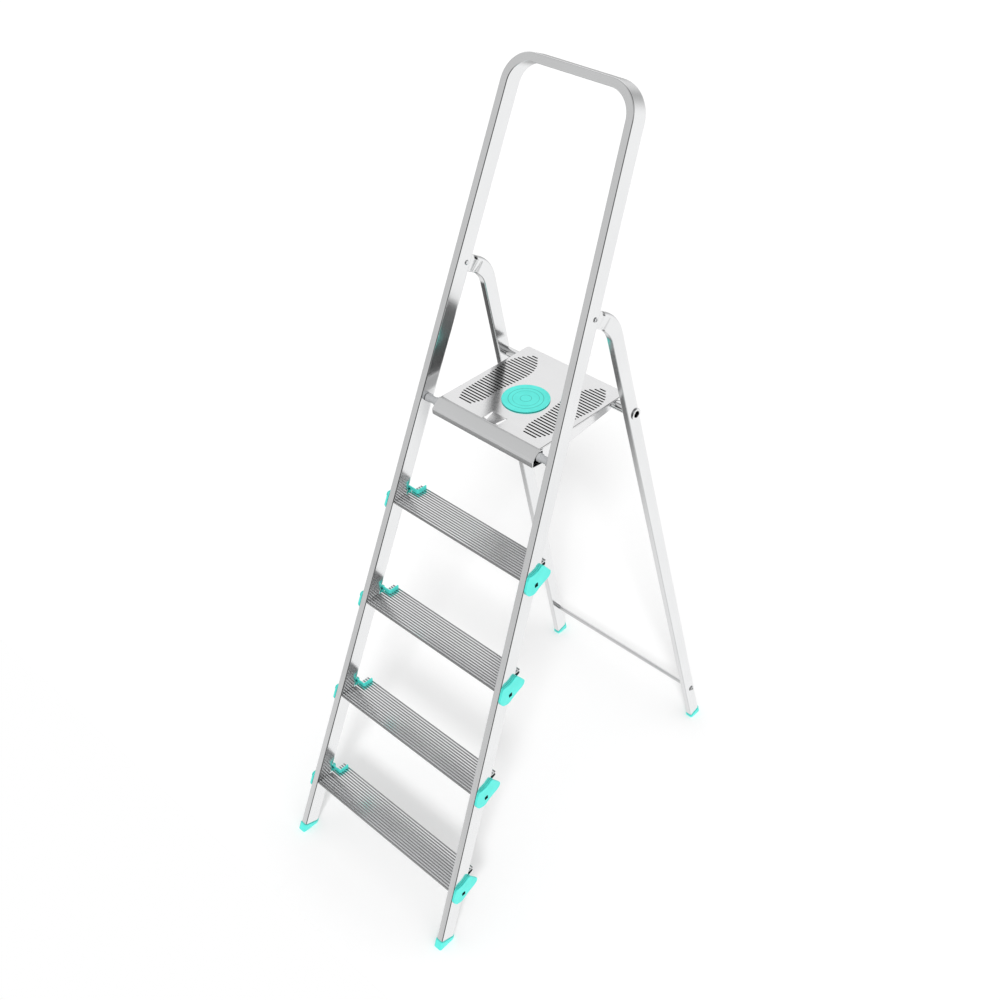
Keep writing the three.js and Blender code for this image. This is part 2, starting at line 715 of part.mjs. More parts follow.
function buildFeet() {
  const front = foot(leanMatrix, frameHalf, stileWidth, stileDepth, frameWall, stileEnd);
  const rear = foot(rearMatrix, legHalf, legWidth, legDepth, legWall, legEnd);
  addPiece("front_foot_right", front, turquoisePlastic);
  addPiece("front_foot_left", mirrored(front), turquoisePlastic);
  addPiece("rear_foot_right", rear, turquoisePlastic);
  addPiece("rear_foot_left", mirrored(rear), turquoisePlastic);
}

// Puts the origin at the middle of the bounding box's base.
function centreOnFloor() {
  const bounds = new THREE.Box3().setFromObject(group);
  const centre = bounds.getCenter(new THREE.Vector3());
  for (const piece of group.children) {
    piece.geometry.translate(-centre.x, -centre.y, -bounds.min.z);
  }
}

buildFrontFrame();
buildTreads();
buildClips();
buildPlate();
buildNosing();
buildPlatformHinge();
buildBadge();
buildRearLegs();
buildCrossTubes();
buildPivotRivets();
buildFeet();
centreOnFloor();

export default group;
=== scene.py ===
"""Looks of the folding platform step ladder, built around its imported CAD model.

Shapes are drawn in millimetres in the row frame and become metres when a mesh is made.
X runs across, -Y is the climbing side and +Z is up.
"""

import json
import math

import bmesh
import bpy
from mathutils import Matrix, Vector
from mathutils.geometry import tessellate_polygon


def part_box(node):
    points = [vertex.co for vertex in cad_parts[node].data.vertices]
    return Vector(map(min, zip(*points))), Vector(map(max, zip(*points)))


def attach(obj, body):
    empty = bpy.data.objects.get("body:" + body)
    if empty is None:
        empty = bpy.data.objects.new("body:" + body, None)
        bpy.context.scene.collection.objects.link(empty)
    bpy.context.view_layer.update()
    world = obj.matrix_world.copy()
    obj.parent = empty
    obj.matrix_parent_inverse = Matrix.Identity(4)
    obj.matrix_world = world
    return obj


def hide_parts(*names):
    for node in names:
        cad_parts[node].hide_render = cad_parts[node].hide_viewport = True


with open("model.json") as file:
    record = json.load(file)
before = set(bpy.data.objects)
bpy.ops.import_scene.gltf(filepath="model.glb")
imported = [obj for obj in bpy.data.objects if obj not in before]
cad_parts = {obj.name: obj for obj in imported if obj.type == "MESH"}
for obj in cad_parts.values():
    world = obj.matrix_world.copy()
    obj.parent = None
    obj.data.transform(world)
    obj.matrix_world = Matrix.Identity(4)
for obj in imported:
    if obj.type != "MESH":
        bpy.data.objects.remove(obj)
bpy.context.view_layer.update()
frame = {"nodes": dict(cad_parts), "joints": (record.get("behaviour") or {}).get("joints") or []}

MM = 0.001
scene = bpy.context.scene
SIDES = {"right": 1, "left": -1}


# ---- sizes, from the frame and a few driving dimensions ----
def box_mm(node):
    low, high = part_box(node)
    return low / MM, high / MM


def joint_mm(name):
    joint = next(j for j in frame["joints"] if j["name"] == name)
    return Vector(joint["pos_m"]) / MM


LEAN = math.radians(20.6)  # stiles lean back by this
REAR_LEAN = math.radians(15.1)  # rear legs lean forward by this
FRAME_HALF = 234.7  # outer half width of the front frame at the floor
FRAME_TAPER = 0.0477
FRAME_LENGTH = 1803.4  # from the floor to the top of the handrail, along the stile
FRAME_END = 20
STILE_WIDTH = 16.6
STILE_DEPTH = 41
STILE_CORNER = 2.6  # outside radius of the front corners
FRAME_WALL = 1.6
HANDRAIL_RADIUS = 63
LEG_HALF = 231.8
LEG_TAPER = 0.049
LEG_WIDTH = 14.8
LEG_DEPTH = 33.6
LEG_CORNER = 2.2
LEG_END = 6
REAR_FLOOR = 903.3  # from the stile's front face to the leg's, along the floor
GAP = 0.35  # between fixed pieces that touch
RUNNING_GAP = 0.08  # radial gap of a shaft in its bore
OVERSHOOT = 5  # how far a cutter reaches past what it cuts
AXLE_ALONG = 1120.7
AXLE_DEPTH = 18.2
PIVOT_ALONG = 1402

axle = joint_mm("platform_fold")
pivot = joint_mm("rear_fold")
FLOOR_Y = axle.y - AXLE_ALONG * math.sin(LEAN) - AXLE_DEPTH * math.cos(LEAN)


def front_point(x, along, depth):
    """A point of the front frame: up the stile and behind its front face."""
    return Vector((
        x,
        FLOOR_Y + along * math.sin(LEAN) + depth * math.cos(LEAN),
        along * math.cos(LEAN) - depth * math.sin(LEAN)))


def rear_point(x, along, depth):
    """A point of the rear legs: up the leg and behind its front face."""
    return Vector((
        x,
        FLOOR_Y + REAR_FLOOR - along * math.sin(REAR_LEAN) + depth * math.cos(REAR_LEAN),
        along * math.cos(REAR_LEAN) + depth * math.sin(REAR_LEAN)))


def rear_place(point):
    """Along and depth of a point, in the rear legs' own directions."""
    y = point.y - FLOOR_Y - REAR_FLOOR
    along = -y * math.sin(REAR_LEAN) + point.z * math.cos(REAR_LEAN)
    depth = y * math.cos(REAR_LEAN) + point.z * math.sin(REAR_LEAN)
    return along, depth


def frame_half(along):
    return FRAME_HALF - FRAME_TAPER * along


EYE_THICKNESS = 4.2  # of a leg's flattened end, which turns inside the stile
EYE_MIDDLE = frame_half(PIVOT_ALONG) - STILE_WIDTH / 2
EYE_SLOT_GAP = 2  # either side of the eye
EYE_SLOT_BELOW = -42  # the slot's two ends up the stile, counted from the pivot
EYE_SLOT_ABOVE = 19
RIVET_RADIUS = 3


def leg_half(along):
    return LEG_HALF - LEG_TAPER * along


def arc(x, y, radius, start, end, steps):
    turns = [start + (end - start) * i / steps for i in range(steps + 1)]
    return [(x + radius * math.cos(t), y + radius * math.sin(t)) for t in turns]


def smooth(t):
    t = min(max(t, 0), 1)
    return t * t * (3 - 2 * t)


# ---- materials ----
def material(name, colour, metallic, roughness):
    made = bpy.data.materials.new(name)
    made.use_nodes = True
    shader = made.node_tree.nodes["Principled BSDF"]
    shader.inputs["Base Color"].default_value = (*colour, 1)
    shader.inputs["Metallic"].default_value = metallic
    shader.inputs["Roughness"].default_value = roughness
    return made, made.node_tree, shader


def noise(tree, coordinates, scale, detail=3):
    """Noise from 0 to 1 over coordinates stretched by scale, three numbers a metre."""
    mapping = tree.nodes.new("ShaderNodeMapping")
    mapping.inputs["Scale"].default_value = scale
    tree.links.new(coordinates, mapping.inputs["Vector"])
    made = tree.nodes.new("ShaderNodeTexNoise")
    made.inputs["Scale"].default_value = 1
    made.inputs["Detail"].default_value = detail
    tree.links.new(mapping.outputs["Vector"], made.inputs["Vector"])
    return made.outputs["Fac"]


def spread(tree, value, low, high):
    """value, from 0.3 to 0.7, spread over low to high."""
    made = tree.nodes.new("ShaderNodeMapRange")
    made.inputs["From Min"].default_value = 0.3
    made.inputs["From Max"].default_value = 0.7
    made.inputs["To Min"].default_value = low
    made.inputs["To Max"].default_value = high
    tree.links.new(value, made.inputs["Value"])
    return made.outputs["Result"]


def tint(tree, value, dark, light):
    made = tree.nodes.new("ShaderNodeMix")
    made.data_type = "RGBA"
    made.inputs["A"].default_value = (*dark, 1)
    made.inputs["B"].default_value = (*light, 1)
    tree.links.new(value, made.inputs["Factor"])
    return made.outputs["Result"]


def bump(tree, shader, height, strength, distance):
    made = tree.nodes.new("ShaderNodeBump")
    made.inputs["Strength"].default_value = strength
    made.inputs["Distance"].default_value = distance
    tree.links.new(height, made.inputs["Height"])
    tree.links.new(made.outputs["Normal"], shader.inputs["Normal"])


def aluminium(name, dark, light, smoothest, roughest, grain):
    """Extruded or rolled aluminium, its grain drawn out where the grain scale is smallest."""
    made, tree, shader = material(name, light, 1, roughest)
    place = tree.nodes.new("ShaderNodeTexCoord").outputs
    grained = place["UV"] if len(grain) == 2 else place["Object"]
    scale = (*grain, 1) if len(grain) == 2 else grain
    streaks = noise(tree, grained, scale)
    cloud = noise(tree, place["Object"], (9, 9, 9))
    both = tree.nodes.new("ShaderNodeMix")
    both.inputs["Factor"].default_value = 0.5
    tree.links.new(streaks, both.inputs["A"])
    tree.links.new(cloud, both.inputs["B"])
    mixed = both.outputs["Result"]
    tree.links.new(tint(tree, spread(tree, mixed, 0, 1), dark, light), shader.inputs["Base Color"])
    tree.links.new(spread(tree, mixed, smoothest, roughest), shader.inputs["Roughness"])
    bump(tree, shader, streaks, 0.04, 0.0002)
    return made


def moulded(name, dark, light, roughness):
    """Moulded plastic with a fine eroded texture."""
    made, tree, shader = material(name, light, 0, roughness)
    place = tree.nodes.new("ShaderNodeTexCoord").outputs["Object"]
    cloud = noise(tree, place, (40, 40, 40))
    pits = noise(tree, place, (1600, 1600, 1600), 1)
    tree.links.new(tint(tree, spread(tree, cloud, 0, 1), dark, light), shader.inputs["Base Color"])
    tree.links.new(spread(tree, pits, roughness - 0.05, roughness + 0.08), shader.inputs["Roughness"])
    bump(tree, shader, pits, 0.2, 0.0001)
    return made


satin = aluminium("anodised_aluminium", (0.80, 0.805, 0.81), (0.86, 0.865, 0.87), 0.13, 0.2, (6, 1500))
satin_across = aluminium(
    "anodised_nosing", (0.80, 0.805, 0.81), (0.86, 0.865, 0.87), 0.14, 0.22, (5, 1200, 1200))
ribbed = aluminium("extruded_tread", (0.84, 0.845, 0.85), (0.90, 0.905, 0.91), 0.14, 0.24, (5, 1400, 1400))
# Painted shade: dark metal on the tread grooves' walls and floors, standing in for the shade inside the
# grooves
groove_painted_shade = aluminium("tread_groove_painted_shade", (0.34, 0.34, 0.345), (0.46, 0.46, 0.465), 0.3, 0.45, (5, 900, 900))
rolled = aluminium("rolled_sheet", (0.82, 0.82, 0.825), (0.88, 0.88, 0.885), 0.12, 0.2, (5, 900, 900))
# Painted shade: near-black metal on the slots' walls, standing in for the shade down the slots
slot_painted_shade = aluminium("slot_wall_painted_shade", (0.03, 0.03, 0.031), (0.07, 0.07, 0.072), 0.5, 0.65, (900, 900, 900))
drawn = aluminium("drawn_tube", (0.78, 0.785, 0.79), (0.86, 0.865, 0.87), 0.08, 0.18, (6, 1800))
rivet_metal = aluminium("rivet_metal", (0.66, 0.67, 0.68), (0.8, 0.81, 0.82), 0.15, 0.28, (900, 900, 900))
turquoise = moulded("turquoise_plastic", (0.08, 0.76, 0.67), (0.1, 0.83, 0.74), 0.38)
dark_turquoise = moulded("turquoise_plastic_engraved", (0.035, 0.42, 0.36), (0.045, 0.5, 0.43), 0.45)
# Painted shade: near-black plastic in the clips' blind sockets, standing in for the shade inside them
socket_painted_shade = moulded("turquoise_socket_painted_shade", (0.002, 0.012, 0.011), (0.003, 0.02, 0.018), 0.6)
grey = moulded("grey_plastic", (0.42, 0.43, 0.44), (0.5, 0.51, 0.52), 0.42)


# ---- meshes ----
def piece_from(name, mesh_data, body, looks, stands_for=(), crisp=32):
    """Makes a piece from a finished bmesh and puts it on its CAD body."""
    bmesh.ops.remove_doubles(mesh_data, verts=mesh_data.verts, dist=1e-7)
    bmesh.ops.recalc_face_normals(mesh_data, faces=mesh_data.faces)
    mesh = bpy.data.meshes.new(name)
    mesh_data.to_mesh(mesh)
    mesh_data.free()
    for look in looks:
        mesh.materials.append(look)
    piece = bpy.data.objects.new(name, mesh)
    scene.collection.objects.link(piece)
    soften(piece, crisp)
    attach(piece, body)
    if stands_for:
        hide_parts(*stands_for)
    return piece


def soften(piece, crisp):
    """Smooth shading that stays crisp over edges sharper than the angle, in degrees."""
    piece.data.shade_smooth()
    piece.data.set_sharp_from_angle(angle=math.radians(crisp))
    weighted = piece.modifiers.new("even_normals", "WEIGHTED_NORMAL")
    weighted.keep_sharp = True


def rounded(piece, width, crisp=32):
    """Rounds a piece's sharp edges by a width in millimetres."""
    bevel = piece.modifiers.new("rounded_edges", "BEVEL")
    bevel.width = width * MM
    bevel.segments = 2
    bevel.limit_method = "ANGLE"
    bevel.angle_limit = math.radians(crisp)
    bevel.use_clamp_overlap = True
    bevel.harden_normals = False


def loft(rings):
    """Skins a stack of equal rings. UV holds the distance along and around, in metres."""
    data = bmesh.new()
    uv = data.loops.layers.uv.new("grain")
    rows = [[data.verts.new(p * MM) for p in ring] for ring in rings]
    count = len(rings[0])
    around = [0]
    for i in range(count):
        around.append(around[-1] + (rings[0][(i + 1) % count] - rings[0][i]).length * MM)
    along = 0
    for row, (here, there) in enumerate(zip(rings, rings[1:])):
        step = (there[0] - here[0]).length * MM
        for i in range(count):
            j = (i + 1) % count
            face = data.faces.new((rows[row][i], rows[row][j], rows[row + 1][j], rows[row + 1][i]))
            corners = [(along, i), (along, i + 1), (along + step, i + 1), (along + step, i)]
            for loop, (u, k) in zip(face.loops, corners):
                loop[uv].uv = (u, around[k])
        along += step
    data.faces.new(reversed(rows[0]))
    data.faces.new(rows[-1])
    return data


def lathe(profile, centre, segments=64, closed=False, upright=False):
    """Turns pairs of [distance along the axis, radius] about X, or about Z when upright."""
    data = bmesh.new()
    turns = [2 * math.pi * i / segments for i in range(segments)]

    def point(along, radius, turn):
        a, b = radius * math.cos(turn), radius * math.sin(turn)
        return centre + (Vector((a, b, along)) if upright else Vector((along, a, b)))

    rows = [[data.verts.new(point(along, radius, t) * MM) for t in turns] for along, radius in profile]
    pairs = list(zip(rows, rows[1:])) + ([(rows[-1], rows[0])] if closed else [])
    for here, there in pairs:
        for i in range(segments):
            j = (i + 1) % segments
            data.faces.new((here[i], here[j], there[j], there[i]))
    if not closed:
        data.faces.new(reversed(rows[0]))
        data.faces.new(rows[-1])
    return data


def cap(data, loops, look=0):
    """Fills an outline, the first loop, around its holes, the other loops."""
    corners = [v for loop in loops for v in loop]
    for triangle in tessellate_polygon([[v.co for v in loop] for loop in loops]):
        face = data.faces.new([corners[i] for i in triangle])
        face.material_index = look


def wall(data, here, there, look=0):
    for i in range(len(here)):
        j = (i + 1) % len(here)
        face = data.faces.new((here[i], here[j], there[j], there[i]))
        face.material_index = look


def prism_across(outlines, half, ease):
    """A bar across X from outlines in Y and Z, the first around the others, with eased ends."""
    data = bmesh.new()
    ends = []
    for x, shrink in [(-half, ease), (ease - half, 0), (half - ease, 0), (half, ease)]:
        loops = []
        for k, outline in enumerate(outlines):
            inset = shrunk(outline, shrink if k == 0 else -shrink)
            loops.append([data.verts.new(Vector((x, y, z)) * MM) for y, z in inset])
        ends.append(loops)
    for here, there in zip(ends, ends[1:]):
        for a, b in zip(here, there):
            wall(data, a, b)
    cap(data, ends[0])
    cap(data, ends[-1])
    return data


def area_of(outline):
    return sum(
        a[0] * b[1] - b[0] * a[1] for a, b in zip(outline, outline[1:] + outline[:1])) / 2


def shrunk(outline, inset):
    """The outline moved inwards by inset, or outwards if it is negative."""
    if inset == 0:
        return list(outline)
    sign = 1 if area_of(outline) > 0 else -1
    count = len(outline)
    moved = []
    for i in range(count):
        before, here, after = (Vector(outline[k % count]) for k in (i - 1, i, i + 1))
        first = (here - before).normalized()
        second = (after - here).normalized()
        normal = Vector((-first.y - second.y, first.x + second.x))
        normal = normal.normalized() if normal.length > 1e-6 else Vector((-first.y, first.x))
        reach = inset / max(0.5, normal.dot(Vector((-first.y, first.x))))
        moved.append(tuple(here + normal * sign * reach))
    return moved


def rounded_outline(points, radius, steps=3):
    """A polygon with each corner rounded by an arc of about that radius."""
    made = []
    count = len(points)
    for i in range(count):
        before, here, after = (Vector(points[k % count]) for k in (i - 1, i, i + 1))
        reach = min(radius, (before - here).length / 2.2, (after - here).length / 2.2)
        start = here + (before - here).normalized() * reach
        end = here + (after - here).normalized() * reach
        for k in range(steps + 1):
            t = k / steps
            made.append(tuple(start * (1 - t) ** 2 + here * 2 * t * (1 - t) + end * t * t))
    return made


def tube_section(width, depth, corner):
    """Flat front and rounded back, as pairs of [inset from the outer side, depth]."""
    return (
        arc(width - corner, corner, corner, -math.pi / 2, 0, 5)
        + arc(width / 2, depth - width / 2, width / 2, 0, math.pi, 28)
        + arc(corner, corner, corner, math.pi, 1.5 * math.pi, 5))


# ---- front frame ----
def handrail_edge(start):
    """Outer edge of the frame with its inward directions, from the right foot to the left."""
    tilt = math.atan(FRAME_TAPER)
    top_half = frame_half(FRAME_LENGTH)
    trim = HANDRAIL_RADIUS * math.tan((math.pi / 2 - tilt) / 2)
    centre = Vector((top_half - trim, FRAME_LENGTH - HANDRAIL_RADIUS))
    stations = [(Vector((frame_half(start), start)), 0)]
    steps = 24
    for i in range(steps + 1):
        turn = tilt + (math.pi / 2 - tilt) * i / steps
        stations.append((centre + HANDRAIL_RADIUS * Vector((math.cos(turn), math.sin(turn))), turn))
    right = [(point, Vector((-math.cos(turn), -math.sin(turn)))) for point, turn in stations]
    left = [(Vector((-p.x, p.y)), Vector((-n.x, n.y))) for p, n in reversed(right)]
    return right + left


def eye_slot(sign):
    """Opening in a stile's back where the rear leg's eye goes in."""
    half = EYE_THICKNESS / 2 + EYE_SLOT_GAP
    near, far = sign * (EYE_MIDDLE - half), sign * (EYE_MIDDLE + half)
    corners = [
        (near, EYE_SLOT_BELOW), (far, EYE_SLOT_BELOW), (far, EYE_SLOT_ABOVE), (near, EYE_SLOT_ABOVE)]
    data = bmesh.new()
    rows = [
        [data.verts.new(front_point(x, PIVOT_ALONG + reach, depth) * MM) for x, reach in corners]
        for depth in (STILE_DEPTH - STILE_WIDTH / 2, STILE_DEPTH + OVERSHOOT)]
    wall(data, *rows)
    cap(data, [rows[0]])
    cap(data, [rows[1]])
    return data


def frame_rings(start, inset):
    """Rings of the bent tube from start up the stile, inset all round from its outside."""
    section = tube_section(STILE_WIDTH - 2 * inset, STILE_DEPTH - 2 * inset, STILE_CORNER - inset)
    return [
        [front_point(*(point + inward * (across + inset)), depth + inset) for across, depth in section]
        for point, inward in handrail_edge(start)]


def build_front_frame():
    piece = piece_from(
        "stile_and_handrail_tube", loft(frame_rings(FRAME_END, 0)), "front", [satin],
        ["front_frame"])
    hollow = loft(frame_rings(FRAME_END - OVERSHOOT, FRAME_WALL))
    cut_by(piece, [hollow] + [eye_slot(sign) for sign in SIDES.values()])


# ---- treads ----
TREAD_DEPTH = 78.5
TREAD_WALL = 2.2
GROOVES = 13
GROOVE_PITCH = 6.1
GROOVE_WIDTH = 2.7
GROOVE_DEPTH = 1.6
GROOVE_SLOPE = 0.1  # each side of a groove leans in by this
TREAD_EASE = 0.35
TREAD_END_EASE = 0.25
HOLLOW_CORNER = 1.2
CEILING = GROOVE_DEPTH + TREAD_WALL  # top of the hollows, below the tread's top

# Pairs are [behind the front edge, below the top].
TREAD_NOSE = [(0.7, 0.1), (0.2, 0.35), (0, 0.8), (0, 2.3), (0.25, 2.95)]
TREAD_KEEL = [(18.6, 24.5), (19.4, 25.2), (20.6, 25.5), (32.4, 25.5), (33.6, 25.3)]
TREAD_REAR = [(77.3, 12.1), (78.1, 11.7), (78.5, 10.9), (78.5, 0.8), (78.3, 0.35), (77.9, 0.1)]
TREAD_HOLLOWS = [
    [(4.4, CEILING), (20.2, 23.3), (33, 23.3), (36, 22.4), (36, CEILING)],
    [(38.2, CEILING), (38.2, 21.8), (76.3, 10.3), (76.3, CEILING)]]


def groove(centre):
    """One groove from its rear edge to its front edge."""
    rear, front = centre + GROOVE_WIDTH / 2, centre - GROOVE_WIDTH / 2
    rear_foot, front_foot = rear - GROOVE_SLOPE, front + GROOVE_SLOPE
    return [
        (rear + TREAD_EASE, 0), (rear, TREAD_EASE), (rear_foot, GROOVE_DEPTH - TREAD_EASE),
        (rear_foot - TREAD_EASE, GROOVE_DEPTH), (front_foot + TREAD_EASE, GROOVE_DEPTH),
        (front_foot, GROOVE_DEPTH - TREAD_EASE), (front, TREAD_EASE), (front - TREAD_EASE, 0)]


def reach_stiles(data, half):
    """Slants a tread's square ends so that they follow the stiles' inner faces."""
    for vertex in data.verts:
        y, z = vertex.co.y / MM, vertex.co.z / MM
        along = (y - FLOOR_Y) * math.sin(LEAN) + z * math.cos(LEAN)
        wanted = frame_half(along) - STILE_WIDTH - GAP
        vertex.co.x *= wanted / half


def build_treads():
    first = (TREAD_DEPTH - (GROOVES - 1) * GROOVE_PITCH) / 2
    grooves = [
        point for i in reversed(range(GROOVES)) for point in groove(first + i * GROOVE_PITCH)]
    outline = TREAD_NOSE + TREAD_KEEL + TREAD_REAR + grooves
    outlines = [outline] + [rounded_outline(hollow, HOLLOW_CORNER, 2) for hollow in TREAD_HOLLOWS]
    for number in range(1, 5):
        low, high = box_mm(f"tread_{number}")
        placed = [[(low.y + back, high.z - drop) for back, drop in points] for points in outlines]
        data = prism_across(placed, high.x, TREAD_END_EASE)
        reach_stiles(data, high.x)
        # Faces inside the grooves take material 1, the painted groove shade
        for face in data.faces:
            drop = high.z - face.calc_center_median().z / MM
            if TREAD_EASE < drop < GROOVE_DEPTH + 0.01 and abs(face.normal.x) < 0.5:
                face.material_index = 1
        piece_from(
            f"grooved_tread_{number}", data, "front", [ribbed, groove_painted_shade],
            [f"tread_{number}"], 25)


# ---- clips ----
def quadratic(start, middle, end, steps=8):
    a, b, c = Vector(start), Vector(middle), Vector(end)
    return [
        tuple(a * (1 - t) ** 2 + b * 2 * t * (1 - t) + c * t * t)
        for t in (i / steps for i in range(1, steps + 1))]


def clip_top_edge():
    """The curved upper edge of a clip, from the stile's front to its head."""
    return (
        [(0, 17)] + quadratic((0, 17), (0, 21), (4, 22)) + quadratic((4, 22), (22, 26), (30, 37))
        + quadratic((30, 37), (33, 42), (39, 40.5)))


def clip_outline():
    """Outer face of a clip as pairs of [depth behind the stile's front, height above the peg]."""
    return (
        clip_top_edge() + [(65, 25)] + quadratic((65, 25), (70, 21), (67, 13))
        + quadratic((67, 13), (64, 8), (58, 4)) + quadratic((58, 4), (44, -6), (35, -17))
        + quadratic((35, -17), (30, -22), (22, -22)) + [(16, -22)]
        + quadratic((16, -22), (6, -19), (0, -9)))


def clip_rim():
    inner = [(40, 33)] + quadratic((40, 33), (30, 21), (0, 13), 14)
    return clip_top_edge() + inner[:-1] + [(0, 13)]


CLIP_THICKNESS = 5.2
CLIP_LIP = 1.2
CLIP_EASE = 1
CLIP_WEB = 2.6
CLIP_BOND = 1  # the catch sinks this far into the plate
PEG_DROP = 17.6  # tread's top to the middle of the clip's square socket
PEG_SETBACK = 25  # tread's front to the middle of the socket
SOCKET_SIDE = 7.8
SOCKET_EASE = 0.8
SOCKET_DEPTH = 26.6  # behind the stile's outer face
CATCH_FRONT = 51  # behind the tread's front edge
CATCH_REAR = 77
CATCH_LEVELS = [(0.35, 0), (9.3, 0), (9.8, 0.25), (10, 0.7)]  # height above the tread, and inset
LOWER_WEB_DROP = 13.6
LOWER_WEB_RISE = 5


def padded_plate(data, place, outline, base, top, ease, hole=None):
    """A plate with an eased outer edge, and a blind hole with a sloped mouth if one is given."""
    levels = [(base, 0), (top - ease, 0), (top - ease * 0.3, ease * 0.3), (top, ease)]
    rows = [
        [data.verts.new(place(x, y, out)) for x, y in shrunk(outline, inset)]
        for out, inset in levels]
    for here, there in zip(rows, rows[1:]):
        wall(data, here, there)
    cap(data, [rows[0]])
    if hole is None:
        cap(data, [rows[-1]])
        return
    mouth = [data.verts.new(place(x, y, top)) for x, y in shrunk(hole, -SOCKET_EASE)]
    throat = [data.verts.new(place(x, y, top - SOCKET_EASE)) for x, y in hole]
    bottom = [data.verts.new(place(x, y, -SOCKET_DEPTH)) for x, y in hole]
    cap(data, [rows[-1], mouth])
    # The socket's walls and floor take material 1, the painted socket shade
    wall(data, mouth, throat, 1)
    wall(data, throat, bottom, 1)
    cap(data, [bottom], 1)


def catch_outline(inner, outer, front, rear, web):
    """Plan of the catch: a web behind the stile that turns back into an arm."""
    corners = [
        (outer, front), (inner + 3, front), (inner, front + 3), (inner, rear),
        (inner + web, rear), (inner + web, front + web + 1.5), (inner + web + 1.5, front + web),
        (outer, front + web)]
    return rounded_outline(corners, 1, 3)


def build_clip(side, number):
    tread_low, tread_high = box_mm(f"tread_{number}")
    clip_low, _ = box_mm(f"tread_clip_right_{number}")
    front, height = tread_low.y, tread_high.z
    peg_y = front + PEG_SETBACK - FLOOR_Y
    peg_z = height - PEG_DROP
    along = peg_y * math.sin(LEAN) + peg_z * math.cos(LEAN)
    peg_depth = peg_y * math.cos(LEAN) - peg_z * math.sin(LEAN)
    tilt = math.atan(FRAME_TAPER)
    mirror = Vector((SIDES[side], 1, 1))

    def place(x, y, out):
        across = frame_half(along) + out * math.cos(tilt) - y * math.sin(tilt)
        up = along + out * math.sin(tilt) + y * math.cos(tilt)
        return front_point(across, up, x) * mirror * MM

    def level(x, y, z):
        return Vector((x, y, z)) * mirror * MM

    data = bmesh.new()
    half = SOCKET_SIDE / 2
    socket = [
        (peg_depth + a * math.cos(LEAN) - b * math.sin(LEAN), a * math.sin(LEAN) + b * math.cos(LEAN))
        for a, b in ((-half, -half), (half, -half), (half, half), (-half, half))]
    padded_plate(
        data, place, clip_outline(), GAP, CLIP_THICKNESS, CLIP_EASE,
        rounded_outline(socket, SOCKET_EASE, 2))
    padded_plate(
        data, place, clip_rim(), CLIP_THICKNESS / 2, CLIP_THICKNESS + CLIP_LIP, 0.8 * CLIP_EASE)
    outer = frame_half(along) + GAP + CLIP_BOND
    catch = catch_outline(clip_low.x, outer, front + CATCH_FRONT, front + CATCH_REAR, CLIP_WEB)
    rows = [
        [data.verts.new(level(x, y, height + rise)) for x, y in shrunk(catch, inset)]
        for rise, inset in CATCH_LEVELS]
    for here, there in zip(rows, rows[1:]):
        wall(data, here, there)
    cap(data, [rows[0]])
    cap(data, [rows[-1]])
    web_inner, web_rear = outer - STILE_WIDTH - GAP + CLIP_BOND, front + CATCH_FRONT + CLIP_WEB
    web = [
        (web_inner, front + CATCH_FRONT), (outer, front + CATCH_FRONT), (outer, web_rear),
        (web_inner, web_rear)]
    bottom = [data.verts.new(level(x, y, height - LOWER_WEB_DROP)) for x, y in web]
    top = [data.verts.new(level(x, y, height + LOWER_WEB_RISE)) for x, y in web]
    wall(data, bottom, top)
    cap(data, [bottom])
    cap(data, [top])
    piece_from(
        f"clip_{side}_{number}", data, "front", [turquoise, socket_painted_shade],
        [f"tread_clip_{side}_{number}"], 30)


def build_clips():
    for number in range(1, 5):
        for side in SIDES:
            build_clip(side, number)


# ---- platform ----
PLATE_SHEET = 2.4
# Pairs are [below the top, inset].
PLATE_EDGE = [(0, 2.3), (0.12, 1.55), (0.45, 0.85), (1, 0.35), (1.6, 0.08), (PLATE_SHEET, 0)]
SLOT_ROWS = 27
SLOT_PITCH = 8.08
SLOT_WIDTH = 3.2
SLOT_TAPER = 1  # a slot is narrower by this all round at the sheet's underside
FIRST_SLOT = 23.5  # behind the plate's front edge
PLATE_CORNER = 5
PUNCH_EASE = 0.3
TONGUE_ROOT = 32  # behind the plate's front edge
TONGUE_TIP = 2.5
TONGUE_HALF_ROOT = 17.5
TONGUE_HALF_TIP = 10.5
TONGUE_DROP = 1.7
TONGUE_SLIT = 2  # between the tongue's root and its window, either side
TONGUE_SHEET = 1
PAN = [(-23, 51), (23, 51), (14, 6), (-14, 6)]  # across, and in front of the plate's rear edge
PAN_DROP = 0.7
PAN_SLOPE = 2.5
# Inner and outer ends of the slots on one side of the plate, evenly spaced from heel to toe.
SOLE_EDGES = [
    (69, 102), (60, 114), (59.5, 115), (62, 115), (60, 116), (57, 118),
    (54.5, 121), (53, 123), (56, 122), (65, 115), (83, 98)]


def sole_span(fraction):
    """Inner and outer edge of the footprint of slots, at a fraction of the way from heel to toe."""
    scaled = fraction * (len(SOLE_EDGES) - 1)
    cell = min(int(scaled), len(SOLE_EDGES) - 2)
    share = scaled - cell
    return [a + (b - a) * share for a, b in zip(SOLE_EDGES[cell], SOLE_EDGES[cell + 1])]


def slot_outline(inner, outer, y):
    r = SLOT_WIDTH / 2
    return (
        arc(outer - r, y, r, -math.pi / 2, math.pi / 2, 6)
        + arc(inner + r, y, r, math.pi / 2, 1.5 * math.pi, 6))


def plate_outline(low, high):
    y = high.y - PLATE_CORNER
    return (
        [(low.x, low.y), (high.x, low.y)]
        + arc(high.x - PLATE_CORNER, y, PLATE_CORNER, 0, math.pi / 2, 6)
        + arc(low.x + PLATE_CORNER, y, PLATE_CORNER, math.pi / 2, math.pi, 6))


